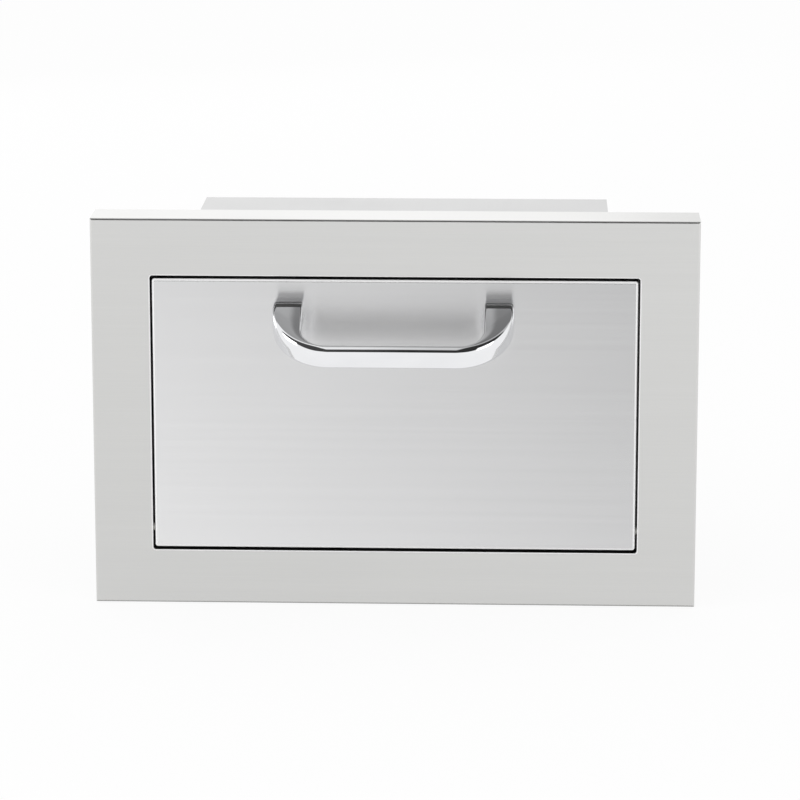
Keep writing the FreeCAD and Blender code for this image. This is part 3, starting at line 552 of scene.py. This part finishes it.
# %% Loft the bow
foot_tolerance = 0.01 * mm
bow = as_one([bow_section(*station) for station in bow_stations()])
bpy.ops.object.mode_set(mode="EDIT")
bpy.ops.mesh.select_all(action="SELECT")
bpy.ops.mesh.delete(type="ONLY_FACE")
bpy.ops.mesh.select_all(action="SELECT")
bpy.ops.mesh.bridge_edge_loops(type="SINGLE")
bpy.ops.object.mode_set(mode="OBJECT")
nothing_marked(bow.data)
for vertex in bow.data.vertices:
    vertex.select = abs(vertex.co.y - door_face) < foot_tolerance
bpy.ops.object.mode_set(mode="EDIT")
bpy.ops.mesh.edge_face_add()
bpy.ops.object.mode_set(mode="OBJECT")
other_half = bow.modifiers.new("other_half", "MIRROR")
bpy.ops.object.modifier_apply(modifier=other_half.name)
dress(finished(bow, "bow_handle"), "handle_chrome", "door", "handle")

# %% [markdown]
# ## Blind rivets
# The sheets are joined by blind rivets. Setting one pulls a mandrel through a hollow rivet until its tail
# swells behind the sheets and the mandrel snaps, so the low domed head keeps a small round hole with the
# broken stem in it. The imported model's rivets are plain stepped cylinders, which say where each one goes.

# %% Places of the small fasteners
spots_apart = 20.0 * mm
length_digits = 5


def extreme_corner(points, pick):
    """The lowest or the highest corner of the box round some points, where pick is min or max."""
    return Vector([pick(point[axis] for point in points) for axis in range(3)])


def spots(node):
    """The lowest and highest corner of each separate piece of a node."""
    groups = []
    for vertex in frame["nodes"][node].data.vertices:
        for group in groups:
            if (vertex.co - group[0]).length < spots_apart:
                group.append(vertex.co.copy())
                break
        else:
            groups.append([vertex.co.copy()])
    return [(extreme_corner(group, min), extreme_corner(group, max)) for group in groups]


def set_along(make, node, heading, head_height):
    """Copies of a fastener at each spot of a node, with their heads in the direction that heading gives."""
    masters = {}
    copies = []
    for low, high in spots(node):
        centre = (low + high) / 2
        direction = Vector(heading(centre))
        length = round(abs((high - low).dot(direction)), length_digits)
        if length not in masters:
            masters[length] = make(length)
        copy = masters[length].copy()
        copy.data = masters[length].data.copy()
        bpy.context.scene.collection.objects.link(copy)
        seat = centre + direction * (length / 2 - head_height)
        turn = direction.to_track_quat("Z", "Y").to_matrix()
        copy.matrix_world = Matrix.Translation(seat) @ turn.to_4x4()
        copies.append(copy)
    for master in masters.values():
        bpy.data.objects.remove(master)
    bpy.context.view_layer.update()
    return as_one(copies)


def backwards(centre):
    """A heading away from the front."""
    return 0, 1, 0


def forwards(centre):
    """A heading towards the front."""
    return 0, -1, 0


def downwards(centre):
    """A heading towards the floor."""
    return 0, 0, -1


def outwards(centre):
    """A heading towards the nearer side of the cabinet."""
    return math.copysign(1, centre.x), 0, 0


# %% Set the rivets
rivet_head = 1.0 * mm


def blind_rivet(length):
    """A set rivet along Z, with its head above the origin and its swollen tail below."""
    tail = 2 * rivet_head - length
    swell = [(0.9, -1.0), (1.9, -0.95), (2.5, -0.6), (2.6, -0.35), (2.3, -0.05), (1.6, 0.0)]
    dome = [(1.6, 0.0), (2.95, 0.0), (3.0, 0.12), (2.85, 0.42), (2.45, 0.70), (1.85, 0.90), (1.25, 0.98)]
    stem = [(1.05, 0.94), (0.95, 0.50), (0.6, 0.45), (0.45, 0.62), (0.2, 0.66)]
    profile = [(radius * mm, tail + height * mm) for radius, height in swell]
    profile += [(radius * mm, height * mm) for radius, height in dome + stem]
    return turned(profile)


rivet_nodes = {"rebate_rivets": backwards, "liner_rivets": backwards, "catch_bracket_rivets": forwards,
               "bracket_rivets": outwards}
for node, heading in rivet_nodes.items():
    rivets = set_along(blind_rivet, node, heading, rivet_head)
    dress(finished(rivets, "set_" + node), "fastener_steel", "cabinet", node)

# %% [markdown]
# ## Cross-recess screws
# Pan-head screws hold the door's inner panel and hang the catch. The recess is cut by two tapered blades,
# as the punch does when the head is formed.

# %% Drive the screws
screw_head = 1.6 * mm
blade_size = (3.2 * mm, 0.62 * mm, 2.0 * mm)
blade_taper = 0.5


def recess_blade(turn):
    """A tapered blade that cuts one arm of the recess."""
    nothing_selected()
    bpy.ops.mesh.primitive_cube_add(size=1.0, location=(0, 0, screw_head), rotation=(0, 0, turn))
    blade = bpy.context.object
    blade.scale = blade_size
    bpy.ops.object.transform_apply(location=True, rotation=True, scale=True)
    nothing_marked(blade.data)
    for vertex in blade.data.vertices:
        vertex.select = vertex.co.z < screw_head
    bpy.ops.object.mode_set(mode="EDIT")
    bpy.ops.transform.resize(value=(blade_taper, blade_taper, 1.0), center_override=(0, 0, screw_head))
    bpy.ops.object.mode_set(mode="OBJECT")
    return blade


def pan_screw(length):
    """A screw along Z, with its head above the origin and its shank below."""
    tip = screw_head - length
    shank = [(0.8 * mm, tip), (1.5 * mm, tip + 0.7 * mm), (1.5 * mm, 0.0)]
    head = [(2.75, 0.0), (2.8, 0.15), (2.78, 0.6), (2.55, 1.05), (2.05, 1.4), (1.3, 1.57), (0.4, 1.6)]
    screw = turned(shank + [(radius * mm, height * mm) for radius, height in head])
    for turn in (0.0, math.pi / 2):
        blade = recess_blade(turn)
        cut = screw.modifiers.new("recess", "BOOLEAN")
        cut.object = blade
        only(screw)
        bpy.ops.object.modifier_apply(modifier=cut.name)
        bpy.data.objects.remove(blade)
    return screw


panel_screws = set_along(pan_screw, "inner_panel_screws", backwards, screw_head)
dress(finished(panel_screws, "driven_panel_screws"), "fastener_steel", "door", "inner_panel_screws")
hanging_screws = set_along(pan_screw, "catch_screws", downwards, screw_head)
dress(finished(hanging_screws, "driven_catch_screws"), "fastener_steel", "cabinet", "catch_screws")

# %% [markdown]
# ## The magnet in the catch
# A ferrite block pulls through two steel plates that stand a little proud of it, so the strike meets the
# plates and not the brittle block.

# %% Stack the magnet
block_segments = 3
plate_edge = 0.25 * mm
ferrite_edge = 0.4 * mm


def eased_block(low, high, edge):
    """A block between two corners, with its edges eased."""
    nothing_selected()
    bpy.ops.mesh.primitive_cube_add(size=1.0, location=(low + high) / 2)
    block = bpy.context.object
    block.scale = high - low
    bpy.ops.object.transform_apply(location=True, rotation=True, scale=True)
    bpy.ops.object.mode_set(mode="EDIT")
    bpy.ops.mesh.select_all(action="SELECT")
    bpy.ops.mesh.bevel(offset=edge, offset_type="OFFSET", segments=block_segments, affect="EDGES")
    bpy.ops.object.mode_set(mode="OBJECT")
    return block


magnet_low, magnet_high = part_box("catch_magnet")
plate = Vector((0.0, 0.0, 1.4 * mm))
ferrite_inset = Vector((0.6 * mm, 0.9 * mm, 0.0))
lower_plate_high = Vector((magnet_high.x, magnet_high.y, magnet_low.z)) + plate
upper_plate_low = Vector((magnet_low.x, magnet_low.y, magnet_high.z)) - plate
ferrite_low = magnet_low + plate + ferrite_inset
ferrite_high = magnet_high - plate - Vector((ferrite_inset.x, 0, 0))
stack = [eased_block(magnet_low, lower_plate_high, plate_edge),
         eased_block(ferrite_low, ferrite_high, ferrite_edge),
         eased_block(upper_plate_low, magnet_high, plate_edge)]
dress(finished(as_one(stack), "stacked_magnet"), "magnet_grey", "cabinet", "catch_magnet")

# %% [markdown]
# ## The rod's spring
# A coil in the rod pushes its sprung end out. The imported coil is stiff, so it would be run through when
# that end is pushed in. This one is wound again round the same axis: a ring of wire, swept by a screw
# modifier.

# %% Wind the spring
spring_low, spring_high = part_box("rod_spring")
spring_axis = (spring_low + spring_high) / 2
spring_turns = 9
steps_per_turn = 32
wire_radius = 0.7 * mm
wire_sides = 12
coil_radius = (spring_high.z - spring_low.z) / 2 - wire_radius
spring_length = spring_high.x - spring_low.x
nothing_selected()
bpy.ops.mesh.primitive_circle_add(vertices=wire_sides, radius=wire_radius, fill_type="NOTHING",
                                  location=(0, 0, coil_radius), rotation=(math.pi / 2, 0, 0))
coil = bpy.context.object
bpy.ops.object.transform_apply(location=True, rotation=True, scale=True)
winding = coil.modifiers.new("winding", "SCREW")
winding.axis = "X"
winding.iterations = spring_turns
winding.screw_offset = (spring_length - 2 * wire_radius) / spring_turns
winding.steps = steps_per_turn
bpy.ops.object.modifier_apply(modifier=winding.name)
bpy.ops.object.mode_set(mode="EDIT")
bpy.ops.mesh.select_all(action="SELECT")
bpy.ops.mesh.fill_holes(sides=0)
bpy.ops.object.mode_set(mode="OBJECT")
coil.location = (spring_low.x + wire_radius, spring_axis.y, spring_axis.z)
dress(finished(coil, "wound_spring"), "fastener_steel", "rod", "rod_spring")
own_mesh(coil)

# %% [markdown]
# ## A white studio
# The cabinet stands on white, with a pale floor in front and a pale wall behind. Polished metal shows
# what is all round it, though, and a studio is dark above the camera, apart from a long strip light
# overhead. That dark side draws the handle: its level roots mirror it by way of the door, its rounded
# edges run it into thin lines, and the strip puts a bright line beside each dark one. So the world is
# white with a dark cap over the front, and the strip and a grey ceiling lie in the cap. The cap is
# lighter on the left, and so is the top of the left leg. What lights the piece is a little dimmer than
# what the camera and the metal see.

# %% The walls and the ceiling
white = (1.0, 1.0, 1.0, 1.0)
cap_slope = 0.5
cap_rim = {"From Min": 0.62, "From Max": 0.71}
cap_sides = {"From Min": -0.06, "From Max": -0.01, "To Min": 1.2, "To Max": 0.65}
ceiling_stops = [(0.0, 0.04), (0.24, 0.05), (0.46, 0.06), (0.49, 0.83), (0.58, 0.83), (0.605, 0.28),
                 (0.66, 0.32), (0.80, 0.83)]
room_light = 0.90
extra_seen = 0.10


def seen(tree):
    """1 for what the camera sees by itself, in metal or through glass."""
    path = {name: Flow.add(tree, "ShaderNodeLightPath", output=name)
            for name in ("Is Camera Ray", "Is Glossy Ray", "Is Transmission Ray")}
    return path["Is Camera Ray"] + path["Is Glossy Ray"] + path["Is Transmission Ray"]


studio = bpy.data.worlds.new("studio")
bpy.context.scene.world = studio
studio.use_nodes = True
studio_tree = studio.node_tree
looking = Flow.add(studio_tree, "ShaderNodeTexCoord", output="Generated")
looking_parts = {axis: Flow.add(studio_tree, "ShaderNodeSeparateXYZ", inputs={0: looking}, output=axis)
                 for axis in "XYZ"}
smooth_step = {"interpolation_type": "SMOOTHSTEP"}
up_front = looking_parts["Z"] - cap_slope * looking_parts["Y"]
overhead = Flow.add(studio_tree, "ShaderNodeMapRange", smooth_step, {"Value": up_front, **cap_rim})
front_to_back = 0.5 + 0.5 * looking_parts["Y"]
ceiling = Flow.add(studio_tree, "ShaderNodeValToRGB", {"stops": ceiling_stops}, {0: front_to_back})
left_to_right = {"Value": looking_parts["X"], **cap_sides}
leftward = Flow.add(studio_tree, "ShaderNodeMapRange", smooth_step, left_to_right)
sky = studio_tree.nodes["Background"]
room = Flow.add(studio_tree, "ShaderNodeMix", {"data_type": "RGBA"},
                {0: overhead * seen(studio_tree), 6: white, 7: ceiling * leftward}, output=2)
studio_tree.links.new(room.socket, sky.inputs["Color"])
studio_tree.links.new((room_light + extra_seen * seen(studio_tree)).socket, sky.inputs["Strength"])
print("world:", studio.name, "with", len(studio_tree.nodes), "nodes")

# %% The floor
floor_gap = 0.5 * mm
floor_size = 14.0
floor_grey = (0.92, 0.92, 0.92, 1.0)
floor_glow = 0.90
nothing_selected()
bpy.ops.mesh.primitive_plane_add(size=floor_size, location=(0, 0, cad_box[0].z - floor_gap))
floor = bpy.context.object
floor.name = "studio_floor"
floor_paint = bpy.data.materials.new("floor_paint")
floor_paint.use_nodes = True
floor_tree = floor_paint.node_tree
floor_tree.nodes.remove(floor_tree.nodes["Principled BSDF"])
paint = Flow.add(floor_tree, "ShaderNodeBsdfDiffuse", inputs={"Color": floor_grey})
glow = Flow.add(floor_tree, "ShaderNodeEmission", inputs={"Color": white, "Strength": 1.0})
glowing = floor_glow * seen(floor_tree)
blend = Flow.add(floor_tree, "ShaderNodeMixShader", inputs={0: glowing, 1: paint, 2: glow})
floor_tree.links.new(blend.socket, floor_tree.nodes["Material Output"].inputs["Surface"])
floor.data.materials.append(floor_paint)
print("floor:", floor.name, floor_size, "m wide")

# %% The lamps
def soft_lamp(name, place, width, height, power):
    """A soft box that faces the cabinet."""
    lamp = bpy.data.lights.new(name, "AREA")
    lamp.shape = "RECTANGLE"
    lamp.size = width
    lamp.size_y = height
    lamp.energy = power
    stand = bpy.data.objects.new(name, lamp)
    stand.location = place
    stand.rotation_euler = (-Vector(place)).to_track_quat("-Z", "Y").to_euler()
    bpy.context.scene.collection.objects.link(stand)


soft_lamp("key_lamp", (-2.4, -1.0, 1.0), width=1.2, height=1.2, power=13.0)
soft_lamp("fill_lamp", (1.9, -1.7, 0.9), width=1.2, height=1.2, power=6.0)
soft_lamp("rear_lamp", (-0.95, 2.4, 0.65), width=2.6, height=1.0, power=3.4)

# %% [markdown]
# ## The camera
# The view is from a little above and a little to the right, through a long lens, so the frame's sides
# stay nearly parallel. The focal length is kept in pixels of an 800 pixel wide picture and turned into
# the millimetres of a 36 mm sensor.

# %% Aim the camera
picture_width = 800.0
focal_pixels = 3785.0
sensor_width = 36.0
camera_place = (0.0960, -2.6677, 0.60885)
look_down = math.radians(12.81)
look_left = math.radians(2.005)

lens = bpy.data.cameras.new("camera")
lens.sensor_width = sensor_width
lens.lens = focal_pixels * sensor_width / picture_width
camera = bpy.data.objects.new("camera", lens)
aim = Euler((math.pi / 2 - look_down, 0.0, look_left)).to_matrix()
camera.matrix_world = Matrix.Translation(camera_place) @ aim.to_4x4()
bpy.context.scene.collection.objects.link(camera)
bpy.context.scene.camera = camera
bpy.context.scene.view_settings.view_transform = "Standard"
print("lens:", round(lens.lens, 1), "mm")
